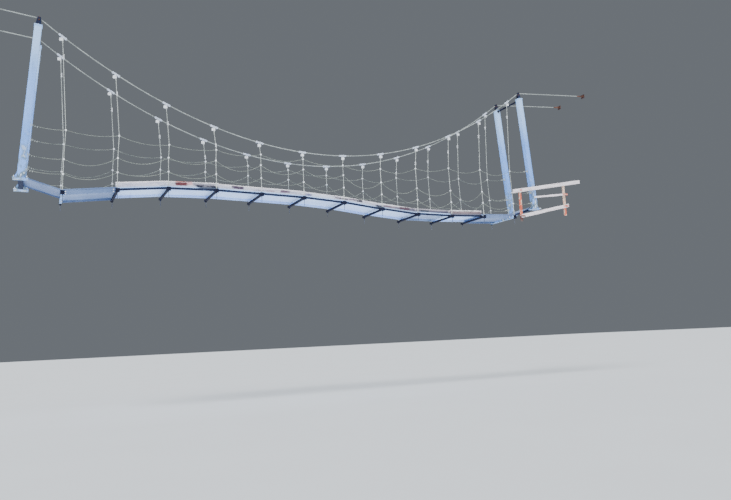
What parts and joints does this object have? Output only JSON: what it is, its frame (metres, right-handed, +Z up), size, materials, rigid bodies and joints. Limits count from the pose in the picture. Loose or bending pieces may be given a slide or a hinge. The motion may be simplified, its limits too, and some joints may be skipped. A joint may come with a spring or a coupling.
{
  "type": "rope suspension footbridge",
  "caption": "Narrow wire-rope suspension footbridge: leaning steel portal towers, hangers with slack hand ropes, sheet deck with timber toe boards and a rail fence at one landing.",
  "frame": {"origin": "underside of the right tower's sill, midway between its legs", "axes": "+X along the bridge from the left tower to the right one, +Y away from the river-side view, +Z up"},
  "size_m": [22.71, 1.63, 5.4288],
  "materials": {
    "leg_paint": "pale blue-grey paint, weathered",
    "dark_steel": "dark painted steel with rust specks",
    "zinc_sheet": "galvanised sheet with spangle and stains",
    "wire_rope": "weathered galvanised wire rope and clamps",
    "rusty_steel": "rusty brown steel",
    "bleached_timber": "bleached timber with red-brown stain patches",
    "pale_timber": "pale weathered timber",
    "red_paint": "peeling orange-red paint"
  },
  "bodies": {
    "root": {"right_tower_near_leg": "leg_paint", "right_tower_near_saddle": "dark_steel", "right_near_anchor": "rusty_steel", "right_near_landing_channel": "leg_paint", "right_tower_far_leg": "leg_paint", "right_tower_far_saddle": "dark_steel", "right_far_anchor": "rusty_steel", "right_far_landing_channel": "leg_paint", "right_tower_crossbar": "dark_steel", "right_tower_sill": "dark_steel", "right_landing_plate": "zinc_sheet", "left_tower_near_leg": "leg_paint", "left_tower_near_saddle": "dark_steel", "left_near_anchor": "rusty_steel", "left_near_landing_channel": "leg_paint", "left_tower_far_leg": "leg_paint", "left_tower_far_saddle": "dark_steel", "left_far_anchor": "rusty_steel", "left_far_landing_channel": "leg_paint", "left_tower_crossbar": "dark_steel", "left_tower_sill": "dark_steel", "left_landing_plate": "zinc_sheet", "near_main_cable": "wire_rope", "near_side_net": "wire_rope", "near_stringer": "dark_steel", "near_toe_board": "bleached_timber", "far_main_cable": "wire_rope", "far_side_net": "wire_rope", "far_stringer": "dark_steel", "far_toe_board": "bleached_timber", "cross_beam_1": "leg_paint", "cross_beam_2": "dark_steel", "cross_beam_3": "dark_steel", "cross_beam_4": "dark_steel", "cross_beam_5": "dark_steel", "cross_beam_6": "dark_steel", "cross_beam_7": "dark_steel", "cross_beam_8": "dark_steel", "cross_beam_9": "dark_steel", "cross_beam_10": "dark_steel", "cross_beam_11": "dark_steel", "cross_beam_12": "leg_paint", "deck_sheet_1": "zinc_sheet", "deck_sheet_2": "zinc_sheet", "deck_sheet_3": "zinc_sheet", "deck_sheet_4": "zinc_sheet", "deck_sheet_5": "zinc_sheet", "deck_sheet_6": "zinc_sheet", "deck_sheet_7": "zinc_sheet", "deck_sheet_8": "zinc_sheet", "deck_sheet_9": "zinc_sheet", "deck_sheet_10": "zinc_sheet", "deck_sheet_11": "zinc_sheet", "fence_post_1": "red_paint", "fence_post_2": "red_paint", "fence_top_rail": "pale_timber", "fence_middle_rail": "pale_timber", "fence_bottom_board": "pale_timber"}
  },
  "joints": []
}
